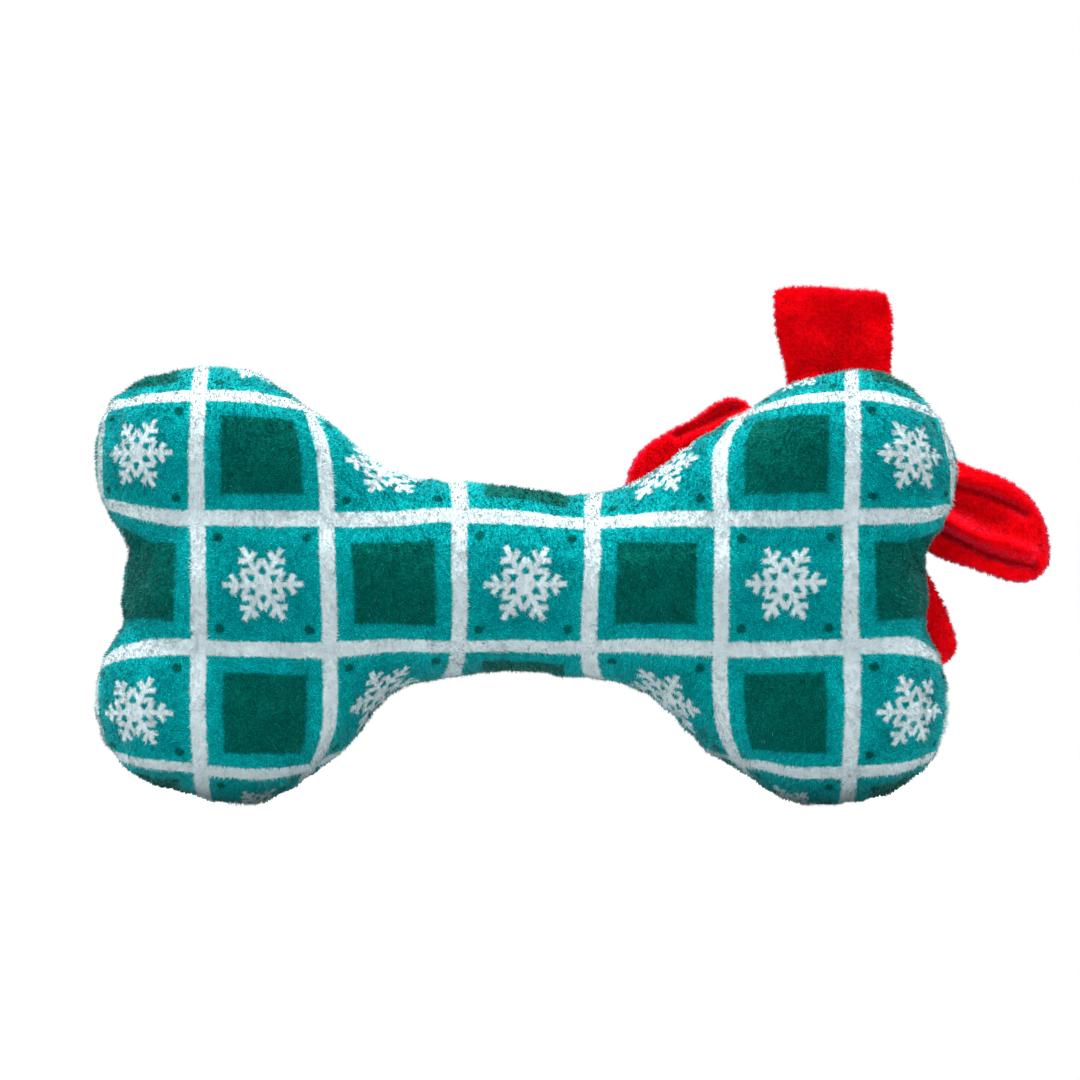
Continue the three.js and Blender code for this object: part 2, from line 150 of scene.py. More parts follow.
# Ribbon bow: each piece's node, body, width and length
ribbon_pieces = [
    ("bow_left_loop", "left_loop", 27.5 * mm, 84 * mm),
    ("bow_right_loop", "right_loop", 27.5 * mm, 84 * mm),
    ("bow_upper_tail", "upper_tail", 27.5 * mm, 34 * mm),
    ("bow_lower_tail", "lower_tail", 27.5 * mm, 38 * mm),
    ("bow_knot", "toy", 15 * mm, 60 * mm),
]
ribbon_voxel = 0.55 * mm
ribbon_wave = [(0.35 * mm, 13 * mm, 42)]
rear_layer = (-0.8 * mm, 2.5 * mm)
front_layer = (-0.5 * mm, 2 * mm)
scallop_pitch = 2.2 * mm
scallop_depth = 0.18 * mm
rim_directions = 240
root_reach = (11.5 * mm, 20 * mm)
root_taper = 0.4
root_taper_reach = 3 * mm
tail_cup = 1.8 * mm
tail_cup_heights = (44 * mm, 14 * mm)
tail_cup_shares = (0.35, 0.65)
knot_crown = 1 * mm
crease_bend_reach = 10 * mm
crease_width = 0.9 * mm

# Folds seen from behind: points in millimetres from the knot's middle, then how deep and how wide.
ribbon_folds = {
    "bow_right_loop": [
        ([(22, 2), (27, 1.6), (34, -0.3), (40, -3.2), (45, -7)], -0.7, 2),
        ([(22, -0.7), (27, -0.7), (33.7, -2.5), (39.5, -5.5), (43.6, -7.9)], 2.4, 1.1),
        ([(20, -4), (27, -5.2), (32, -7.5), (36, -9.5)], 2.5, 3),
        ([(18, -6), (24.7, -9), (29.3, -12), (33.5, -14.3), (38.6, -15.2), (44.8, -16.9)],
         -2.2, 1.8),
        ([(24, -12.5), (29.3, -15.7), (34.4, -18.2), (39.5, -19.4), (45.7, -20.3)], 2.6, 0.9),
    ],
    "bow_left_loop": [([(-20, 17.6), (-26, 15.4), (-33, 12.2), (-38, 9)], 2, 1.1)],
}

# Folds that run out from the knot on the front, written the same way.
front_folds = {
    "bow_left_loop": [
        ([(-8, 4), (-16, 8.5), (-24, 12.5)], 1.7, 1.7),
        ([(-8, 0.5), (-18, 2.5), (-29, 4.5), (-38, 4)], 2.3, 2.1),
        ([(-8, -4), (-17, -5.5), (-27, -7)], 1.7, 1.6),
    ],
    "bow_right_loop": [
        ([(8, 4), (17, 4.5), (27, 2)], 1.6, 1.7),
        ([(8, -0.5), (18, -3), (28, -7.5), (37, -12.5)], 2.3, 2.1),
        ([(8, -4.5), (16, -9.5), (24, -14)], 1.6, 1.6),
    ],
    "bow_upper_tail": [
        ([(-3.5, 12), (-5.2, 17), (-6.5, 23)], 1.2, 1.8),
        ([(2, 12), (2.8, 17), (3.2, 22)], 1.3, 1.6),
    ],
    "bow_lower_tail": [
        ([(4, -13), (6.5, -23), (9, -34)], 1.4, 1.9), ([(8, -12), (13.5, -22)], 1, 1.5),
        ([(25, -29), (27, -35), (26, -44)], -3, 4),
    ],
}

# Where a ribbon piece's outline moves: a place on it, how far right and up, and how wide.
ribbon_pushes = {
    "bow_left_loop": [(-46, 5, -0.8, 2.8, 7), (-38, 10, -0.3, 1, 5), (-28, 17.5, 0, 1, 6)],
    "bow_right_loop": [(31, 4, 0, -1.1, 10), (50, -16, -0.8, 0, 8), (30, -22, 0, 1.2, 9)],
    "bow_upper_tail": [
        (12, 36, 1.1, 0, 8), (-16.6, 42, 0.8, 0, 4), (-14, 26, 0.9, 0, 6), (-7, 45, 0, 0.5, 8),
        (12, 44.6, -0.8, -1.2, 2.8), (-16.5, 45, 0.6, -0.8, 2.4),
    ],
    "bow_lower_tail": [
        (25.5, -30, 1.1, 0, 14), (26, -40, 0.8, 0, 8), (4, -50.6, 0.5, 1.2, 2.6),
        (26, -43.5, -0.9, 0.9, 2.8), (-3.5, -13.5, -0.5, 3.2, 5),
    ],
}

# Creases that run over the knot: how far right, how bent and how deep, in millimetres
knot_creases = [(-4.6, 0.8, 0.8), (-1.4, 0.3, 1.1), (2, -0.4, 1), (5, -0.9, 0.7)]

# Pile of the plush and of the ribbon's velour. Its noise adds its seeds to each pile's own.
plush_seed = 20
velour_seed = 50
plush_pile = dict(density=4.6 / mm**2, length=0.95 * mm, width=0.31 * mm, lean=radians(50),
                  fall=(0.25, 0, -1))
velour_pile = dict(density=5.5 / mm**2, length=0.75 * mm, width=0.24 * mm, lean=radians(32),
                   fall=(0.1, 0.1, -1))
tuft_turns = (0, 2 * pi / 3, 4 * pi / 3)
tuft_lengths = (0.7, 1.2)
tuft_widths = (0.7, 1.3)
tuft_sink = 0.15 * mm
tuft_floor = 0.05 * mm
tuft_scatter = 0.3
tuft_roundness = 0.3
tuft_print_spread = 0.14 * mm
comb_spread = 0.02
swirl_waves = [(1.2, 30 * mm, 1), (0.5, 7 * mm, 2)]
swirl_spread = 0.6
tilt_waves = [(0.12, 5 * mm, 3)]
tilt_spread = 0.18
length_waves = [(0.12, 4 * mm, 4)]
worn_share = 0.25
knot_wear_facing = (0.35, 0.75)
root_wear_gap = (0.3 * mm, 2.8 * mm)

# Printed check of the plush, in millimetres but for its span and its shift
print_span = 260 * mm
print_shift = (13 * mm, 9 * mm)
print_fuzz = 0.32
check_pitch = 30
band_half = 1.75
glow_edges = (7.5, 1.5)
dark_margin = 5.6
dark_fuzz = 1.6 * print_fuzz
snow_reach = 9.4
snow_arm_half = 0.62
snow_branches = [(3.4, 3.3), (6.1, 2.5)]
snow_core = 2.3
dot_place = 10.4
dot_radius = 1.1

# Pitches of the velour's rib and weft and of a thread's plies, in millimetres
rib_pitch = 1.15
weft_pitch = 1.4
ply_pitch = 0.8

# Soft boxes, aimed at the toy: name, place, size and power
light_aim = (0, 0, 0.05)
softboxes = [
    ("top_softbox", (-0.1, -0.1, 1.2), 1.0, 39),
    ("rear_side_softbox", (-0.4, -1.4, 0.5), 0.8, 4.5),
    ("front_side_softbox", (0.5, 1.3, 0.8), 0.8, 6.5),
    ("left_softbox", (-1.3, -0.15, 0.4), 0.7, 6.5),
    ("right_softbox", (1.3, -0.15, 0.4), 0.7, 7.5),
]
world_light = 0.28

# Floor: where its own glow grows, its glow near the toy, and its shares of light
floor_radius = 30
glow_reach = (0.16, 0.6)
near_glow = 0.5
seen_glow = 0.8
cast_glow = 0.2

# Camera, as far as a long lens stands from a small product
camera_distance = 2.5
photo_size = 1080
photo_scale = 0.2309 * mm
photo_bone = (525, 583)
sensor_width = 36


def smoothstep(value, low, high):
    share = np.clip((value - low) / (high - low), 0, 1)
    return share * share * (3 - 2 * share)


def waves(points, length, seed, count=7):
    """Smooth noise of about the given wavelength, from a few plane waves."""
    random = np.random.default_rng(seed)
    total = np.zeros(len(points))
    for _ in range(count):
        direction = random.normal(size=3)
        direction *= 2 * pi / (length * norm(direction)) * random.uniform(0.6, 1.4)
        total += np.sin(points @ direction + random.uniform(0, 2 * pi))
    return total / sqrt(count)


def wave_sum(points, sizes, start=0, first_seed=0):
    """A start with noise of several sizes added."""
    for strength, length, seed in sizes:
        start = start + strength * waves(points, length, first_seed + seed)
    return start


def unit(vectors):
    return vectors / np.maximum(norm(vectors, axis=-1, keepdims=True), tiny)


# The bone as a field of distances

def round_cone(points, start, end, start_radius, end_radius):
    along = end - start
    offset = points - start
    share = np.clip(offset @ along / (along @ along), 0, 1)
    radius = start_radius + share * (end_radius - start_radius)
    return norm(offset - share[:, None] * along, axis=1) - radius


def body_cones():
    """The shaft, the two hubs, and each lobe with the limb that leads to it."""
    half_length, half_height = body_length / 2, body_height / 2

    def at(across, up):
        return np.array([across * half_length, 0, up * half_height])

    shaft_end = np.array([shaft_half_length, 0, 0])
    cones = [(-shaft_end, shaft_end, shaft_radius, shaft_radius)]
    for side in (-1, 1):
        cones.append((at(side * hub_outer_share, 0), at(side * hub_inner_share, 0),
                      hub_radius, hub_neck_radius))
    for side, level, outer, inner, root, radius_share in lobes:
        radius = radius_share * lobe_radius
        outer, inner, root = (at(side * across, level * up) for across, up in
                              (outer, inner, (root, limb_root_level_share)))
        cones.append((inner, outer, radius, radius))
        cones.append((root, inner, limb_root_radius, limb_end_share * radius))
    return cones


cones = body_cones()


def body_distance(points):
    """Distance to the bone's plain surface, less than 0 inside, with its cones melted together."""
    flat = points * [1, 1 / flatness_share, 1]
    total = sum(np.exp(-round_cone(flat, *cone) / melt) for cone in cones)
    return -melt * np.log(total)


def body_slope(points):
    step = 0.01 * melt
    slope = np.empty_like(points)
    for axis in range(3):
        shift = np.zeros(3)
        shift[axis] = step
        ahead, behind = body_distance(points + shift), body_distance(points - shift)
        slope[:, axis] = (ahead - behind) / (2 * step)
    return slope


def settle(points, level):
    """Moves points to where the distance has the given level."""
    for _ in range(settle_rounds):
        slope = body_slope(points)
        miss = body_distance(points) - level
        points = points - slope * (miss / np.sum(slope * slope, axis=1))[:, None]
    return points


def surface_net(level, low, counts, step):
    """Points and quads of the surface at a level of distance, a point in each cell it crosses."""
    axes = [low[axis] + step * np.arange(counts[axis]) for axis in range(3)]
    corners = np.stack(np.meshgrid(*axes, indexing="ij"), axis=-1)
    values = (body_distance(corners.reshape(-1, 3)) - level).reshape(counts)
    total = np.zeros((values.size, 3))
    found = np.zeros(values.size)
    quads = []
    for axis in range(3):
        near = values.take(np.arange(counts[axis] - 1), axis)
        far = values.take(np.arange(1, counts[axis]), axis)
        places = np.argwhere((near < 0) != (far < 0))
        ahead, behind = far[tuple(places.T)], near[tuple(places.T)]
        crossing = corners[tuple(places.T)].copy()
        crossing[:, axis] += step * behind / (behind - ahead)
        ring = []
        for across, up in ((0, 0), (-1, 0), (-1, -1), (0, -1)):
            cell = places.copy()
            cell[:, (axis + 1) % 3] += across
            cell[:, (axis + 2) % 3] += up
            index = np.ravel_multi_index(cell.T, counts)
            np.add.at(total, index, crossing)
            np.add.at(found, index, 1)
            ring.append(index)
        quad = np.stack(ring, axis=1)
        outward = behind < 0
        quads.append(np.where(outward[:, None], quad, quad[:, ::-1]))
    used, order = np.unique(np.concatenate(quads), return_inverse=True)
    return total[used] / found[used][:, None], order.reshape(-1, 4)


# Meshes

def placed(name, data):
    piece = bpy.data.objects.new(name, data)
    bpy.context.scene.collection.objects.link(piece)
    return piece


def new_object(name, points, faces, smooth=True):
    mesh = bpy.data.meshes.new(name)
    mesh.from_pydata(points.tolist(), [], faces.tolist())
    if smooth:
        mesh.shade_smooth()
    return placed(name, mesh)


def coordinates(mesh, kind="co"):
    values = np.empty(3 * len(mesh.vertices), dtype=np.float32)
    mesh.vertices.foreach_get(kind, values)
    return values.reshape(-1, 3).astype(float)


def set_coordinates(mesh, points):
    mesh.vertices.foreach_set("co", points.astype(np.float32).ravel())
    mesh.update()


def vertex_normals(mesh):
    return coordinates(mesh, "normal")


def evaluated(piece):
    """A piece with its modifiers or its bevel worked out."""
    return piece.evaluated_get(bpy.context.evaluated_depsgraph_get())


def apply_modifiers(piece):
    mesh = bpy.data.meshes.new_from_object(evaluated(piece))
    piece.modifiers.clear()
    old = piece.data
    piece.data = mesh
    bpy.data.meshes.remove(old)


def delete_object(piece):
    mesh = piece.data
    bpy.data.objects.remove(piece)
    bpy.data.meshes.remove(mesh)


def write_map(mesh, places):
    """Stores each vertex's place in the print as a UV map."""
    corners = np.empty(len(mesh.loops), dtype=np.int32)
    mesh.loops.foreach_get("vertex_index", corners)
    layer = mesh.uv_layers.new(name="OFBake")
    layer.data.foreach_set("uv", places[corners].astype(np.float32).ravel())


def faces_beyond(mesh, axis, middle, side):
    """The faces on one side of a plane: their points, the faces, and which vertices they were."""
    points = coordinates(mesh)
    faces = np.array([list(face.vertices) for face in mesh.polygons])
    kept = faces[side * (points[faces][:, :, axis].mean(axis=1) - middle) > 0]
    used, order = np.unique(kept, return_inverse=True)
    return points[used], order.reshape(-1, 4), used


# The stuffed skin, swollen by its filling

def bone_place():
    """The bone's own middle: half way along the panels, on the seam, over the flat feet."""
    rear_low, rear_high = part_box("rear_panel")
    front_low, front_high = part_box("front_panel")
    middle = (min(rear_low.x, front_low.x) + max(rear_high.x, front_high.x)) / 2
    seam = (rear_high.y + front_low.y) / 2
    lowest = min(settle(np.array([[x, 0, -body_height / 2]]), 0)[0, 2] for x in foot_sections)
    return np.array([middle, seam, -foot_flat - lowest])


bone_middle = bone_place()


def swell(piece, seam):
    """Blows the skin up as its filling does, up to a limit, while the seam holds it in."""
    rest = coordinates(piece.data)
    group = piece.vertex_groups.new(name="seam")
    group.add(np.nonzero(seam)[0].tolist(), 1, "REPLACE")
    settings = piece.modifiers.new("cloth", "CLOTH").settings
    for name, value in skin_cloth.items():
        setattr(settings, name, value)
    settings.effector_weights.gravity = 0
    for number in range(1, swell_frames + 1):
        bpy.context.scene.frame_set(number)
    moved = coordinates(evaluated(piece).data) - rest
    piece.modifiers.clear()
    piece.vertex_groups.clear()
    bpy.context.scene.frame_set(1)
    far = norm(moved, axis=1, keepdims=True)
    set_coordinates(piece.data, rest + moved * np.minimum(1, swell_limit / np.maximum(far, tiny)))


def seam_line(points):
    """The seam's points in order round the bone, with how far each lies along it."""
    middle = points.mean(axis=0)
    turn = np.arctan2(points[:, 2] - middle[2], points[:, 0] - middle[0])
    order = [int(np.argmin(turn))]
    left = set(range(len(points))) - set(order)
    while left:
        rest = np.array(sorted(left))
        gaps = norm(points[rest] - points[order[-1]], axis=1)
        nearest = int(rest[np.argmin(gaps)])
        order.append(nearest)
        left.discard(nearest)
    line = points[order]
    along = np.concatenate([[0], np.cumsum(norm(np.diff(line, axis=0), axis=1))])
    return line, along


def stitch_down(points, normals, line, along):
    """Draws the skin in at the seam, with small puckers that run away from it."""
    near = np.full(len(points), np.inf)
    phase = np.zeros(len(points))
    for place, reach in zip(line, along):
        gap = norm(points - place, axis=1)
        closer = gap < near
        near[closer] = gap[closer]
        phase[closer] = reach
    away = np.abs(points[:, 1])
    groove = groove_depth * np.exp(-((away / groove_width) ** 2))
    seam_place = np.stack([phase, 0 * phase, 0 * phase], axis=1)
    bend = wave_sum(seam_place, pucker_bend, start=0.5)
    wave = np.sin(wave_sum(points, pucker_wander, start=2 * pi * phase / pucker_length))
    puckers = pucker_depth * bend * wave * np.exp(-away / pucker_reach)
    puckers *= smoothstep(away, 0, pucker_start)
    lumps = wave_sum(points, skin_lumps) * smoothstep(away, 0, lump_start)
    return points + normals * (lumps + puckers - groove)[:, None]


def settle_shape(points):
    """Gives points in the bone's own frame a stuffed toy's uneven outline and wandering seam."""
    moved = points.copy()
    flat = points[:, [0, 2]]
    for x, z, push in outline_pushes:
        place = np.array([[x, 0, z]]) * mm
        gap = norm(flat - place[0, [0, 2]], axis=1)
        moved += push * mm * np.exp(-((gap / push_reach) ** 2))[:, None] * unit(body_slope(place))
    near_seam = (1 - np.clip(np.abs(points[:, 1]) / wander_depth, 0, 1) ** 2) ** 2
    for x, z, shift, reach in seam_wanders:
        gap = norm(flat - np.array([x, z]) * mm, axis=1)
        moved[:, 1] += shift * mm * np.exp(-((gap / (reach * mm)) ** 2)) * near_seam
    return moved


def settle_in_place(points):
    """The same for points in the frame that all pieces share."""
    return settle_shape(points - bone_middle) + bone_middle


def print_place(points, normals):
    """Where points lie on the cloth, which wraps over the sides, in shares of its span."""
    turn = np.arccos(np.clip(np.abs(normals[:, 1]), 0, 1))
    sideways = unit(normals[:, [0, 2]])
    wrap = lobe_radius * (turn - np.sin(turn))
    return 0.5 + (points[:, [0, 2]] + sideways * wrap[:, None]) / print_span


def keep_off_floor(points):
    """Flattens what lies lower than the clearance, with a soft shoulder above it."""
    over = points[:, 2] - floor_clearance
    result = points.copy()
    result[:, 2] = floor_clearance + 0.5 * (over + np.sqrt(over * over + floor_shoulder**2))
    return result


def bone_skin():
    """The whole skin as one closed mesh in the bone's own frame, and which points are its seam."""
    reach = np.array([body_length / 2, body_height / 4, body_height / 2]) + 3 * skin_step
    half = np.ceil(reach / skin_step).astype(int)
    level = -skin_inset - swell_room
    points, quads = surface_net(level, -(half - 0.5) * skin_step, 2 * half, skin_step)
    points = settle(points, level)
    seam = np.abs(points[:, 1]) < 0.1 * skin_step
    points[seam, 1] = 0
    skin = new_object("skin", points, quads)
    swell(skin, seam)
    shaped = coordinates(skin.data)
    shaped[seam, 1] = 0
    set_coordinates(skin.data, shaped)
    return skin, seam


def finish_skin(skin, seam):
    """Sets the skin back to the outline, subdivides and sews it, and places it in the print."""
    points = coordinates(skin.data)
    normals = vertex_normals(skin.data)
    short = -skin_inset - body_distance(points)
    points = points + normals * (outline_share * short)[:, None]
    points[seam, 1] = 0
    set_coordinates(skin.data, points)
    skin.modifiers.new("fine", "SUBSURF").levels = 1
    apply_modifiers(skin)
    points = coordinates(skin.data)
    places = print_place(points, unit(body_slope(points)))
    on_seam = np.abs(points[:, 1]) < seam_tolerance
    line, along = seam_line(points[on_seam])
    points = stitch_down(points, vertex_normals(skin.data), line, along)
    points[on_seam, 1] = 0
    set_coordinates(skin.data, points)
    return places


def half_of(skin, places, side, name):
    """One panel in its place, as thin as a sheet, and its points' places in the print."""
    points, faces, used = faces_beyond(skin.data, 1, 0, side)
    points[:, 1] += side * seam_half_gap * (np.abs(points[:, 1]) < seam_tolerance)
    panel = new_object(name + "_plush", keep_off_floor(settle_shape(points) + bone_middle), faces)
    places = places[used] + (np.array(print_shift) / print_span if side > 0 else 0)
    write_map(panel.data, places)
    return panel, places.astype(np.float32)


def turn_in_seam(piece):
    """Turns the seam allowance in from the panel's open edge, and gives the cloth its thickness."""
    work = bmesh.new()
    work.from_mesh(piece.data)
    rim = [edge for edge in work.edges if edge.is_boundary]
    inward = {}
    for edge in rim:
        for vertex in edge.verts:
            inward[vertex] = Vector((-vertex.normal.x, 0, -vertex.normal.z)).normalized()
    grown = bmesh.ops.extrude_edge_only(work, edges=rim)["geom"]
    for vertex in [item for item in grown if isinstance(item, bmesh.types.BMVert)]:
        others = [edge.other_vert(vertex) for edge in vertex.link_edges]
        source = next(other for other in others if other in inward)
        vertex.co += inward[source] * seam_allowance
    work.to_mesh(piece.data)
    work.free()
    thickness = piece.modifiers.new("cloth", "SOLIDIFY")
    thickness.thickness = fabric
    thickness.offset = -1
    apply_modifiers(piece)
    piece.data.shade_smooth()


# Pile

def sample(mesh, density, seed):
    """Random points on a mesh: their places and normals, the three vertices round each with its
    shares of them, and the generator to go on with."""
    random = np.random.default_rng(seed)
    mesh.calc_loop_triangles()
    triangles = np.empty(3 * len(mesh.loop_triangles), dtype=np.int32)
    mesh.loop_triangles.foreach_get("vertices", triangles)
    triangles = triangles.reshape(-1, 3)
    points, normals = coordinates(mesh), vertex_normals(mesh)
    corners = points[triangles]
    sides = corners[:, 1:] - corners[:, :1]
    area = 0.5 * norm(np.cross(sides[:, 0], sides[:, 1]), axis=1)
    count = int(density * area.sum())
    chosen = random.choice(len(area), size=count, p=area / area.sum())
    shares = random.dirichlet((1, 1, 1), size=count)
    place = np.einsum("ij,ijk->ik", shares, corners[chosen])
    normal = unit(np.einsum("ij,ijk->ik", shares, normals[triangles[chosen]]))
    return place, normal, triangles[chosen], shares, random


def grow_pile(name, mesh, seed, density, length, width, lean, fall, places=None, worn=None):
    """Short tufts on a mesh, each a narrow three-sided point, combed along fall.

    places are the mesh's places in the print, and worn gives how much of the tufts is left."""
    root, normal, corner, share, random = sample(mesh, density, seed)
    count = len(root)
    swirl = wave_sum(root, swirl_waves, 0, seed) + random.normal(0, swirl_spread, count)
    fall = np.asarray(fall, float)
    ruffle = comb_spread * random.normal(size=(count, 3))
    comb = unit(fall - normal * (normal @ fall)[:, None] + ruffle)
    across = np.cross(normal, comb)
    lie = comb * np.cos(swirl)[:, None] + across * np.sin(swirl)[:, None]
    tilt = lean + random.normal(0, tilt_spread, count) + wave_sum(root, tilt_waves, 0, seed)
    way = normal * np.cos(tilt)[:, None] + lie * np.sin(tilt)[:, None]
    long = length * random.uniform(*tuft_lengths, count)
    long *= wave_sum(root, length_waves, 1, seed)
    half = 0.5 * width * random.uniform(*tuft_widths, count)
    if worn:
        long *= worn_share + (1 - worn_share) * worn(root, normal)
    side = np.cross(normal, lie)
    shade = unit(normal + tuft_scatter * random.normal(size=(count, 3)))
    sink = root - normal * tuft_sink
    ring, shades = [], []
    for turn in tuft_turns:
        spoke = lie * cos(turn) + side * sin(turn)
        ring.append(sink + spoke * half[:, None])
        shades.append(unit(shade + tuft_roundness * spoke))
    points = np.stack([*ring, root + way * long[:, None]], axis=1).reshape(-1, 3)
    points[:, 2] = np.maximum(points[:, 2], tuft_floor)
    first = 4 * np.arange(count)[:, None]
    faces = np.concatenate([first + corners for corners in ([0, 1, 3], [1, 2, 3], [2, 0, 3])])
    piece = new_object(name, points, faces, smooth=False)
    if places is not None:
        spots = np.einsum("ij,ijk->ik", share, places[corner])
        offsets = [(cos(turn), sin(turn)) for turn in tuft_turns] + [(0, 0)]
        spread = tuft_print_spread / print_span * np.array(offsets)
        write_map(piece.data, (spots[:, None, :] + spread[None]).reshape(-1, 2))
    normals = np.stack([*shades, shade], axis=1).reshape(-1, 3)
    piece.data.normals_split_custom_set_from_vertices(normals.tolist())
    return piece


# Materials

def paint(*screen):
    """A colour as it shows on a screen, from 0 to 255, as the share of light returned."""
    shares = [value / 255 for value in screen]
    return (*(s / 12.92 if s < 0.04045 else ((s + 0.055) / 1.055) ** 2.4 for s in shares), 1)


class Nodes:
    """A material written as sums: each call adds a node and gives its output."""

    def __init__(self, name):
        self.material = bpy.data.materials.new(name)
        self.material.use_nodes = True
        self.tree = self.material.node_tree
        self.shader = self.tree.nodes["Principled BSDF"]

    def add(self, kind, *values, **settings):
        node = self.tree.nodes.new("ShaderNode" + kind)
        for name, value in settings.items():
            setattr(node, name, value)
        for socket, value in zip(node.inputs, values):
            self.feed(socket, value)
        return node

    def feed(self, socket, value):
        if isinstance(value, bpy.types.NodeSocket):
            self.tree.links.new(value, socket)
        else:
            socket.default_value = value

    def math(self, operation, *values):
        return self.add("Math", *values, operation=operation).outputs[0]

    def vector(self, operation, *values):
        return self.add("VectorMath", *values, operation=operation).outputs[0]

    def times(self, *values):
        return self.math("MULTIPLY", *values)

    def plus(self, *values):
        return self.math("ADD", *values)

    def minus(self, *values):
        return self.math("SUBTRACT", *values)

    def far(self, across, up):
        """How far a place is from the middle."""
        return self.math("SQRT", self.plus(self.times(across, across), self.times(up, up)))

    def scaled(self, vector, factor):
        node = self.add("VectorMath", vector, operation="SCALE")
        node.inputs["Scale"].default_value = factor
        return node.outputs[0]

    def split(self, vector):
        return self.add("SeparateXYZ", vector).outputs

    def noise(self, vector, scale, detail=2, output="Fac"):
        node = self.add("TexNoise", vector)
        node.inputs["Scale"].default_value = scale
        node.inputs["Detail"].default_value = detail
        return node.outputs[output]

    def shift(self, vector, scale, reach):
        """A vector that wanders by up to about reach."""
        wander = self.vector("SUBTRACT", self.noise(vector, scale, output="Color"), (0.5, 0.5, 0.5))
        return self.vector("ADD", vector, self.scaled(wander, 2 * reach))

    def step(self, value, low, high, start=0, end=1):
        values = value, low, high, start, end
        return self.add("MapRange", *values, interpolation_type="SMOOTHSTEP").outputs[0]

    def mix(self, share, first, second):
        node = self.add("Mix", data_type="RGBA")
        self.feed(node.inputs["Factor"], share)
        first_socket, second_socket = [socket for socket in node.inputs if socket.type == "RGBA"]
        self.feed(first_socket, first)
        self.feed(second_socket, second)
        return next(socket for socket in node.outputs if socket.type == "RGBA")

    def lit(self, colour, *lights):
        """The colour with its brightness times each light, a grey round one."""
        for light in lights:
            node = self.add("HueSaturation")
            self.feed(node.inputs["Color"], colour)
            self.feed(node.inputs["Value"], light)
            colour = node.outputs["Color"]
        return colour

    def round_one(self, value, spread):
        """A noise from 0 to 1 turned into a grey that varies by the spread round one."""
        return self.math("MULTIPLY_ADD", value, 2 * spread, 1 - spread)

    def place(self):
        """The place on the piece, in millimetres."""
        return self.scaled(self.add("TexCoord").outputs["Object"], 1 / mm)

    def bump(self, height, depth):
        node = self.add("Bump")
        node.inputs["Distance"].default_value = depth
        self.feed(node.inputs["Height"], height)
        self.feed(self.shader.inputs["Normal"], node.outputs["Normal"])

    def surface(self, **values):
        for socket in self.shader.inputs:
            value = values.get(socket.name.lower().replace(" ", "_"))
            if value is not None:
                self.feed(socket, value)
        return self.material


def snowflake(nodes, across, up):
    """Distance in millimetres to a plain six-armed snowflake, from its middle."""
    twelfth, sixth = radians(30), radians(60)
    radius = nodes.far(across, up)
    turn = nodes.math("PINGPONG", nodes.math("ARCTAN2", up, across), twelfth)
    along = nodes.times(radius, nodes.math("COSINE", turn))
    off = nodes.times(radius, nodes.math("SINE", turn))
    shape = nodes.math("MAXIMUM", nodes.minus(off, snow_arm_half), nodes.minus(along, snow_reach))
    cosine, sine = cos(sixth), sin(sixth)
    for start, length in snow_branches:
        out = nodes.minus(along, start)
        forward = nodes.plus(nodes.times(out, cosine), nodes.times(off, sine))
        aside = nodes.minus(nodes.times(off, cosine), nodes.times(out, sine))
        branch = nodes.math("MAXIMUM", nodes.minus(nodes.math("ABSOLUTE", aside), snow_arm_half),
                            nodes.minus(forward, length))
        branch = nodes.math("MAXIMUM", branch, nodes.times(forward, -1))
        shape = nodes.math("MINIMUM", shape, branch)
    cosine, sine = cos(twelfth), sin(twelfth)
    core = nodes.plus(nodes.times(along, cosine), nodes.times(off, sine))
    return nodes.math("MINIMUM", shape, nodes.minus(core, snow_core))


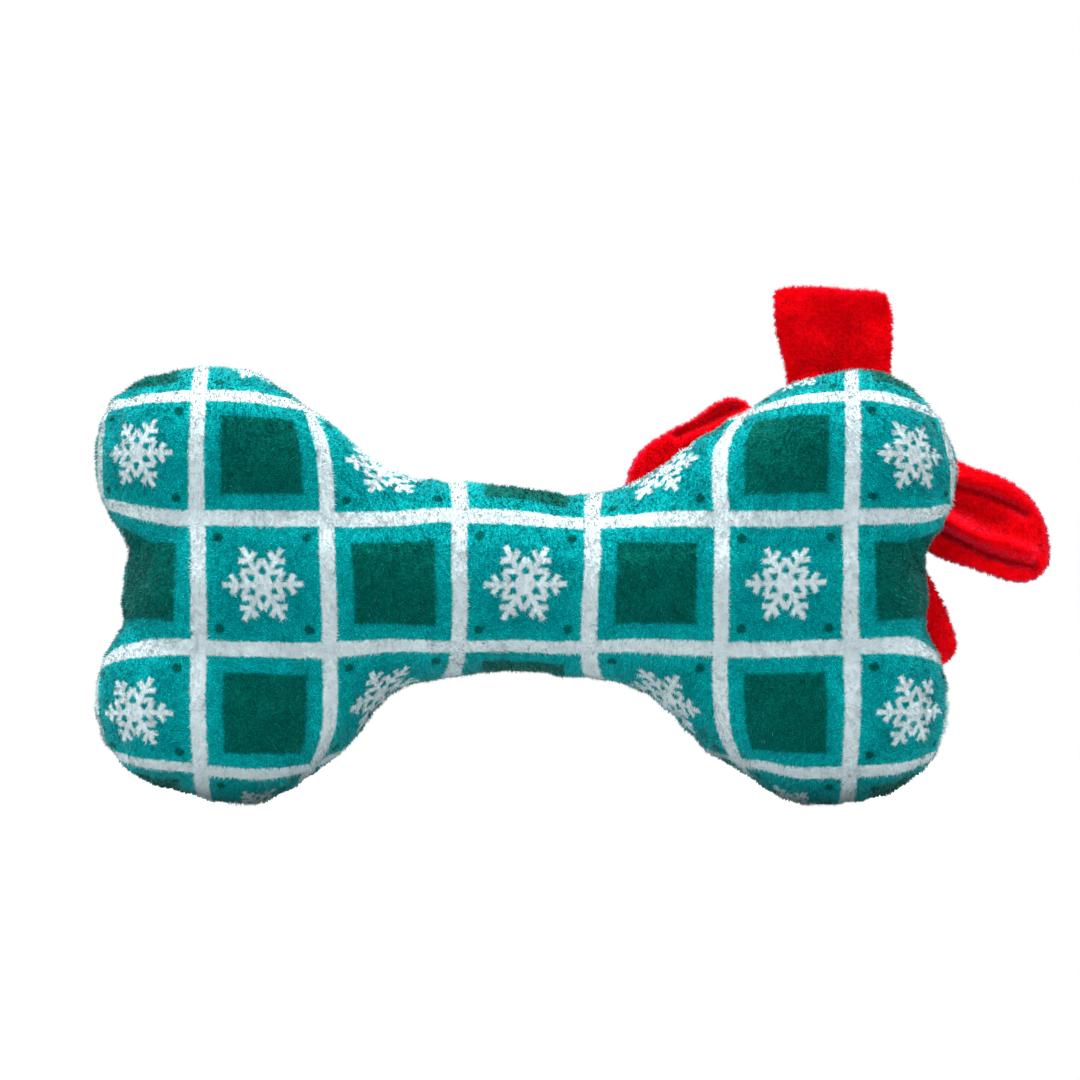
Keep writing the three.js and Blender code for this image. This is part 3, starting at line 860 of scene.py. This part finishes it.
def plush_material():
    """Short plush, printed with a white check, plain snowflakes and dark squares."""
    nodes = Nodes("printed_plush")
    cloth = nodes.add("UVMap", uv_map="OFBake").outputs["UV"]
    flat = nodes.scaled(nodes.vector("SUBTRACT", cloth, (0.5, 0.5, 0)), print_span / mm)
    drawn = nodes.shift(nodes.shift(flat, 0.022, 1.7), 0.75, 0.42)
    x, z, _ = nodes.split(drawn)
    column = nodes.plus(nodes.math("DIVIDE", x, check_pitch), 0.5)
    row = nodes.plus(nodes.math("DIVIDE", z, check_pitch), 0.5)
    across, up = (nodes.times(nodes.minus(nodes.math("FRACT", value), 0.5), check_pitch)
                  for value in (column, row))
    far_across, far_up = nodes.math("ABSOLUTE", across), nodes.math("ABSOLUTE", up)
    edge = nodes.minus(check_pitch / 2, nodes.math("MAXIMUM", far_across, far_up))
    square = nodes.plus(nodes.math("FLOOR", column), nodes.math("FLOOR", row))
    odd = nodes.math("FLOORED_MODULO", square, 2)
    even = nodes.minus(1, odd)
    band = nodes.step(edge, band_half + print_fuzz, band_half - print_fuzz)
    dark = nodes.times(nodes.step(edge, dark_margin - dark_fuzz, dark_margin + dark_fuzz), odd)
    snow = nodes.times(nodes.step(snowflake(nodes, across, up), print_fuzz, -print_fuzz), even)
    gap = nodes.far(nodes.minus(far_across, dot_place), nodes.minus(far_up, dot_place))
    dots = nodes.times(nodes.step(gap, dot_radius + print_fuzz, dot_radius - print_fuzz), even)
    glow = nodes.times(nodes.step(edge, *glow_edges), 0.6)
    colour = nodes.mix(glow, paint(0, 145, 150), paint(4, 170, 172))
    colour = nodes.mix(dark, colour, paint(0, 94, 85))
    colour = nodes.mix(dots, colour, paint(0, 92, 88))
    brushed = nodes.noise(flat, 0.11, 3)
    tuft = nodes.noise(flat, 0.9, 2)
    fibre = nodes.noise(flat, 3, 1)
    # Painted highlights: random lighter flecks on the coloured ground stand in for light caught on
    # single fibres.
    painted_fibre_highlight = nodes.math("MULTIPLY_ADD", nodes.step(fibre, 0.5, 0.72), 0.6, 0.78)
    white = nodes.mix(nodes.step(fibre, 0.6, 0.3), paint(210, 223, 227), paint(191, 213, 219))
    white = nodes.lit(white, nodes.round_one(brushed, 0.08), nodes.round_one(tuft, 0.14))
    colour = nodes.lit(colour, nodes.round_one(brushed, 0.25), nodes.round_one(tuft, 0.32),
                       nodes.round_one(fibre, 0.6), painted_fibre_highlight)
    colour = nodes.mix(nodes.math("MAXIMUM", band, snow), colour, white)
    nodes.bump(nodes.plus(tuft, nodes.times(fibre, 0.5)), 0.35 * mm)
    return nodes.surface(base_color=colour, roughness=0.92, specular_ior_level=0.02,
                         sheen_weight=0.42, sheen_roughness=0.3, sheen_tint=(0.4, 0.96, 0.95, 1))


def velour_material():
    """Red velour, unevenly brushed, with a fine rib and weft."""
    nodes = Nodes("red_velour")
    place = nodes.shift(nodes.place(), 0.3, 0.5)
    x, _, z = nodes.split(place)
    rib = nodes.math("SINE", nodes.times(z, 2 * pi / rib_pitch))
    weft = nodes.math("SINE", nodes.times(x, 2 * pi / weft_pitch))
    tuft = nodes.noise(place, 0.8, 2)
    fibre = nodes.noise(place, 2.4, 1)
    brushed = nodes.noise(place, 0.09, 3)
    colour = nodes.mix(nodes.step(tuft, 0.35, 0.7), paint(250, 0, 3), paint(255, 0, 19))
    colour = nodes.lit(colour, nodes.round_one(brushed, 0.22), nodes.round_one(fibre, 0.25),
                       nodes.math("MULTIPLY_ADD", rib, 0.012, 1),
                       nodes.math("MULTIPLY_ADD", weft, 0.02, 1))
    nodes.bump(nodes.plus(nodes.times(rib, 0.05), nodes.plus(tuft, fibre)), 0.3 * mm)
    return nodes.surface(base_color=colour, roughness=0.9, specular_ior_level=0.02,
                         sheen_weight=0.8, sheen_roughness=0.35, sheen_tint=(1, 0.16, 0.45, 1))


def thread_with_painted_ply_shade(name, dark, pale):
    """Twisted polyester thread, with its plies as slanting bands and painted shade, darker in the
    grooves between them.
    """
    nodes = Nodes(name)
    x, y, z = nodes.split(nodes.place())
    slant = nodes.plus(nodes.plus(x, y), nodes.times(z, 1.6))
    ply = nodes.math("SINE", nodes.times(slant, 2 * pi / ply_pitch))
    share = nodes.math("MULTIPLY_ADD", ply, 0.5, 0.5)
    nodes.bump(share, 0.1 * mm)
    # Painted shade: darker where the bump sinks between plies, paler on their crests.
    colour = nodes.mix(share, dark, pale)
    return nodes.surface(base_color=colour, roughness=0.5, sheen_weight=0.2)


def stuffing_material():
    """Matted white polyester fibre, a little uneven."""
    nodes = Nodes("stuffing_fibre")
    place = nodes.shift(nodes.place(), 0.15, 3)
    clump = nodes.noise(place, 0.25, 4)
    strand = nodes.noise(nodes.vector("MULTIPLY", place, (0.4, 2.2, 1.1)), 1.4, 3)
    colour = nodes.mix(clump, paint(222, 222, 216), paint(250, 250, 246))
    nodes.bump(nodes.plus(clump, strand), 0.8 * mm)
    return nodes.surface(base_color=nodes.lit(colour, nodes.round_one(strand, 0.1)), roughness=1,
                         sheen_weight=0.4, sheen_roughness=0.6)


def plastic_material(name, dark, pale, roughness):
    """Blow-moulded plastic with a faint flow pattern and a fine grain."""
    nodes = Nodes(name)
    place = nodes.place()
    flow = nodes.noise(nodes.vector("MULTIPLY", place, (1, 1, 0.3)), 0.35, 3)
    grain = nodes.noise(place, 3, 2)
    nodes.bump(nodes.plus(nodes.times(flow, 2), grain), 0.05 * mm)
    shine = nodes.step(flow, 0.2, 0.8, roughness - 0.08, roughness + 0.1)
    colour = nodes.mix(flow, dark, pale)
    return nodes.surface(base_color=colour, roughness=shine, subsurface_weight=0.1)


plush = plush_material()
velour = velour_material()
# Each thread's darker colour is painted shade for the grooves between its plies.
teal_thread = thread_with_painted_ply_shade("teal_thread", paint(0, 84, 86), paint(20, 128, 128))
red_thread = thread_with_painted_ply_shade("red_thread", paint(120, 0, 14), paint(190, 14, 36))
fibre_fill = stuffing_material()
bulb_plastic = plastic_material("bulb_plastic", paint(226, 220, 204), paint(246, 242, 230), 0.42)
plug_plastic = plastic_material("plug_plastic", paint(212, 212, 208), paint(238, 238, 234), 0.36)


def dress(piece, material, body, replaced=()):
    """Gives a piece its material and body, and hides the nodes that it stands for."""
    piece.data.materials.clear()
    piece.data.materials.append(material)
    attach(piece, body)
    if replaced:
        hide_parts(*replaced)


# The bone's two plush panels and their pile

def make_bone():
    skin, seam = bone_skin()
    places = finish_skin(skin, seam)
    for side, name in ((-1, "rear_panel"), (1, "front_panel")):
        panel, spots = half_of(skin, places, side, name)
        for patch, way, end in ((0, -1, "left"), (1, 1, "right")):
            points, faces, used = faces_beyond(panel.data, 0, bone_middle[0], way)
            part = new_object("part", points, faces)
            pile = grow_pile(name + "_pile_" + end, part.data, plush_seed + 4 * patch + side,
                             **plush_pile, places=spots[used])
            delete_object(part)
            dress(pile, plush, "toy")
        turn_in_seam(panel)
        dress(panel, plush, "toy", (name,))
    delete_object(skin)


# Stuffing and what else is hidden inside

def remeshed(node, name, voxel, rounds):
    """A finer closed copy of a CAD node with its edges rounded."""
    piece = placed(name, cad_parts[node].data.copy())
    fine = piece.modifiers.new("fine", "REMESH")
    fine.mode = "VOXEL"
    fine.voxel_size = voxel
    smooth = piece.modifiers.new("round", "SMOOTH")
    smooth.factor = 0.5
    smooth.iterations = rounds
    apply_modifiers(piece)
    piece.data.shade_smooth()
    return piece


def make_stuffing():
    for node in [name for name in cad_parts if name.startswith("stuffing_")]:
        wad = remeshed(node, node + "_wad", wad_voxel, 5)
        points, normals = coordinates(wad.data), vertex_normals(wad.data)
        sink = wave_sum(points, wad_lumps, start=wad_sink)
        points -= normals * np.maximum(sink, wad_least_sink)[:, None]
        set_coordinates(wad.data, settle_in_place(points))
        dress(wad, fibre_fill, "toy", (node,))


def make_seam_threads():
    """The two threads of the seam, which follow it where it wanders."""
    for node in ("seam_needle_thread", "seam_bobbin_thread"):
        thread = remeshed(node, node.replace("_thread", "_stitching"), thread_voxel, 1)
        set_coordinates(thread.data, settle_in_place(coordinates(thread.data)))
        dress(thread, teal_thread, "toy", (node,))


def finish_cad_pieces():
    """Gives the nodes whose own shape is right their materials, and the bulb a mesh of its own."""
    kept = {"squeaker_bulb": bulb_plastic, "squeaker_plug": plug_plastic,
            "squeaker_reed": plug_plastic, "bow_tack_thread": red_thread}
    for node, material in kept.items():
        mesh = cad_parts[node].data
        mesh.materials.clear()
        mesh.materials.append(material)
        mesh.shade_smooth()
        mesh.set_sharp_from_angle(angle=sharp_angle)
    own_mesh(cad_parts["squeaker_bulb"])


# Thread that closes the gap in the seam where the stuffing went in

def lay_on_skin(points):
    """Moves each point straight up or down to just under the plush panels."""
    graph = bpy.context.evaluated_depsgraph_get()
    panels = [BVHTree.FromObject(bpy.data.objects[name], graph)
              for name in ("rear_panel_plush", "front_panel_plush")]
    for point in points:
        start = Vector(point) - Vector((0, 0, skin_search))
        hits = [panel.ray_cast(start, Vector((0, 0, 1)), 2 * skin_search)[0] for panel in panels]
        heights = [hit.z for hit in hits if hit]
        if heights:
            point[2] = min(heights) - closing_stand_off


def make_closing_stitch():
    """Slanting stitches from panel to panel over the seam under the shaft."""
    count = 2 * closing_stitches + 1
    along = np.linspace(-closing_length / 2, closing_length / 2, count)
    side = np.where(np.arange(count) % 2 == 0, 1, -1)
    turns = zip(along, side * closing_half_width)
    points = np.array([(x, share * y, -shaft_radius) for x, y in turns
                       for share in (closing_turn_share, 1)])
    points = settle_shape(settle(points, -skin_inset - closing_sink)) + bone_middle
    lay_on_skin(points)
    curve = bpy.data.curves.new("closing_stitch", "CURVE")
    curve.dimensions = "3D"
    curve.bevel_depth = thread_radius
    curve.bevel_resolution = 3
    curve.resolution_u = 6
    spline = curve.splines.new("NURBS")
    spline.points.add(len(points) - 1)
    spline.points.foreach_set("co", np.column_stack([points, np.ones(len(points))]).ravel())
    spline.use_endpoint_u = True
    spline.order_u = 4
    drawn = placed("drawn_stitch", curve)
    mesh = bpy.data.meshes.new_from_object(evaluated(drawn))
    bpy.data.objects.remove(drawn)
    bpy.data.curves.remove(curve)
    mesh.shade_smooth()
    stitch = placed("closing_stitch", mesh)
    dress(stitch, teal_thread, "toy", ("closing_stitch_thread",))


# Ribbon bow

knot_low, knot_high = (np.array(corner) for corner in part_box("bow_knot"))
knot_middle = (knot_low + knot_high) / 2


def line_gap(points, line):
    """How far each point lies from a line of points, in the plane of the bone."""
    flat = points[:, [0, 2]]
    nearest = np.full(len(flat), np.inf)
    for start, end in zip(line[:-1], line[1:]):
        along = end - start
        share = np.clip((flat - start) @ along / (along @ along), 0, 1)
        nearest = np.minimum(nearest, norm(flat - start - share[:, None] * along, axis=1))
    return nearest


def rim_phase(points):
    """How far each point lies round its piece's outline, seen from the front."""
    flat = points[:, [0, 2]]
    middle = (flat.min(axis=0) + flat.max(axis=0)) / 2
    turn = np.arctan2(*(flat - middle).T[::-1])
    far = norm(flat - middle, axis=1)
    count = rim_directions
    slot = ((turn / (2 * pi) + 0.5) * count).astype(int) % count
    reach = np.zeros(count)
    np.maximum.at(reach, slot, far)
    reach = np.convolve(np.tile(reach, 3), np.ones(5) / 5, "same")[count:2 * count]
    angles = (np.arange(count) + 0.5) / count * 2 * pi - pi
    outline = np.column_stack([np.cos(angles), np.sin(angles)]) * reach[:, None]
    steps = norm(np.diff(np.vstack([outline, outline[:1]]), axis=0), axis=1)
    along = np.concatenate([[0], np.cumsum(steps)])
    whole = round(along[-1] / scallop_pitch) * scallop_pitch
    phase = (turn + pi) / (2 * pi) * count
    return np.interp(phase, np.arange(count + 1), along * whole / along[-1])


def knot_gap(points):
    """How far each point lies outside the knot's box."""
    return norm(np.maximum(0, np.maximum(knot_low - points, points - knot_high)), axis=1)


def tail_hollow(offset):
    """How far the upper tail is hollowed between its two edges, least at its top and its root."""
    left, right = offset[:, 0].min(), offset[:, 0].max()
    across = 2 * (offset[:, 0] - left) / (right - left) - 1
    down = smoothstep(offset[:, 2], *tail_cup_heights)
    past_root = smoothstep(norm(offset[:, [0, 2]], axis=1), *root_reach)
    top, foot = tail_cup_shares
    return tail_cup * (1 - across**2) * (top + foot * down) * past_root


def shape_knot(moved, offset, normals, way):
    """Domes the knot, towards the front where way is 1, and presses its creases into it."""
    half = (knot_high - knot_low) / 2
    dome = np.prod(1 - np.clip(offset[:, [0, 2]] / half[[0, 2]], -1, 1) ** 2, axis=1)
    moved[:, 1] += knot_crown * dome * way
    for x, bend, depth in knot_creases:
        crease = offset[:, 0] - x * mm - bend * mm * (offset[:, 2] / crease_bend_reach) ** 2
        moved -= normals * (depth * mm * np.exp(-((crease / crease_width) ** 2)))[:, None]


def fold_ribbon(name, points, normals):
    """Moves a ribbon piece's points into the folds and scalloped edges of soft velour."""
    offset = points - knot_middle
    facing = np.abs(normals[:, 1])
    rear = 1 - smoothstep(offset[:, 1], *rear_layer)
    front = 1 if name.endswith("tail") else smoothstep(offset[:, 1], *front_layer)
    moved = points.copy()
    for folds, side, way in ((ribbon_folds, rear, 1), (front_folds, front, -1)):
        for line, depth, width in folds.get(name, []):
            gap = line_gap(offset, np.array(line) * mm)
            moved[:, 1] += way * side * depth * mm * np.exp(-((gap / (width * mm)) ** 2))
    if name == "bow_upper_tail":
        moved[:, 1] += tail_hollow(offset)
    wave = wave_sum(points, ribbon_wave) * smoothstep(facing, 0.1, 0.7)
    if name == "bow_knot":
        shape_knot(moved, offset, normals, front - rear)
    else:
        near_knot = 1 - smoothstep(knot_gap(points), 0, root_taper_reach)
        moved[:, 1] -= (moved[:, 1] - knot_middle[1]) * root_taper * near_knot
        rim = 1 - smoothstep(facing, 0.3, 0.8)
        wave += scallop_depth * rim * np.sin(2 * pi * rim_phase(points) / scallop_pitch)
    moved += normals * wave[:, None]
    for x, z, right, up, reach in ribbon_pushes.get(name, []):
        gap = norm(offset[:, [0, 2]] - np.array([x, z]) * mm, axis=1)
        push = np.array([right, up]) * mm
        moved[:, [0, 2]] += push * np.exp(-((gap / (reach * mm)) ** 2))[:, None]
    return moved


def knot_wear(root, normal):
    """The knot's pile is short on its narrow sides."""
    return smoothstep(np.abs(normal[:, 1]), *knot_wear_facing)


def root_wear(root, normal):
    """The pile of a loop or tail is short where it comes out of the knot."""
    return smoothstep(knot_gap(root), *root_wear_gap)


def make_bow():
    for node, body, width, length in ribbon_pieces:
        piece = remeshed(node, node.replace("bow_", "") + "_ribbon", ribbon_voxel, 4)
        points, normals = coordinates(piece.data), vertex_normals(piece.data)
        set_coordinates(piece.data, fold_ribbon(node, points, normals))
        pile = grow_pile(piece.name + "_pile", piece.data, velour_seed + len(node), **velour_pile,
                         worn=knot_wear if node == "bow_knot" else root_wear)
        dress(piece, velour, body, (node,))
        dress(pile, velour, body)


# Stage, lights and camera

def make_floor():
    """A pale floor that reads as white, with a soft shade round the toy."""
    mesh = bpy.data.meshes.new("floor")
    work = bmesh.new()
    bmesh.ops.create_circle(work, cap_ends=True, segments=96, radius=floor_radius)
    work.to_mesh(mesh)
    work.free()
    floor = placed("floor", mesh)
    nodes = Nodes("pale_floor")
    spot = nodes.add("TexCoord").outputs["Object"]
    far = nodes.add("VectorMath", spot, operation="LENGTH").outputs["Value"]
    glow = nodes.step(far, *glow_reach, near_glow, 1)
    white = nodes.mix(glow, (0.9, 0.9, 0.9, 1), (0, 0, 0, 1))
    seen = nodes.add("LightPath").outputs["Is Camera Ray"]
    shine = nodes.math("MULTIPLY_ADD", seen, seen_glow, nodes.times(glow, cast_glow))
    mesh.materials.append(nodes.surface(base_color=white, roughness=0.8, specular_ior_level=0,
                                        emission_color=(1, 1, 1, 1), emission_strength=shine))


def make_world():
    """A white world that lights the toy softly and shows as full white."""
    world = bpy.data.worlds.new("studio")
    bpy.context.scene.world = world
    world.use_nodes = True
    tree = world.node_tree
    soft = tree.nodes["Background"]
    soft.inputs["Strength"].default_value = world_light
    bright = tree.nodes.new("ShaderNodeBackground")
    seen = tree.nodes.new("ShaderNodeLightPath")
    both = tree.nodes.new("ShaderNodeMixShader")
    for background in (soft, bright):
        background.inputs["Color"].default_value = (1, 1, 1, 1)
    sources = (seen.outputs["Is Camera Ray"], soft.outputs[0], bright.outputs[0])
    for source, socket in zip(sources, both.inputs):
        tree.links.new(source, socket)
    tree.links.new(both.outputs[0], tree.nodes["World Output"].inputs[0])


def make_lights():
    for name, place, size, power in softboxes:
        light = bpy.data.lights.new(name, "AREA")
        light.size = size
        light.energy = power
        lamp = placed(name, light)
        lamp.location = place
        aim = Vector(light_aim) - Vector(place)
        lamp.rotation_euler = aim.to_track_quat("-Z", "Y").to_euler()


def make_camera():
    """The photograph's camera, level with the bone and square to its rear."""
    lens = bpy.data.cameras.new("camera")
    lens.sensor_width = sensor_width
    lens.lens = sensor_width * camera_distance / (photo_size * photo_scale)
    lens.clip_end = 100
    camera = placed("camera", lens)
    right = (photo_size / 2 - photo_bone[0]) * photo_scale
    up = (photo_bone[1] - photo_size / 2) * photo_scale
    camera.location = bone_middle + np.array([right, -camera_distance, up])
    camera.rotation_euler = (pi / 2, 0, 0)
    bpy.context.scene.camera = camera


make_floor()
make_world()
make_lights()
make_camera()
bpy.context.scene.view_settings.view_transform = "Standard"

make_bone()
make_closing_stitch()
make_seam_threads()
make_stuffing()
make_bow()
finish_cad_pieces()
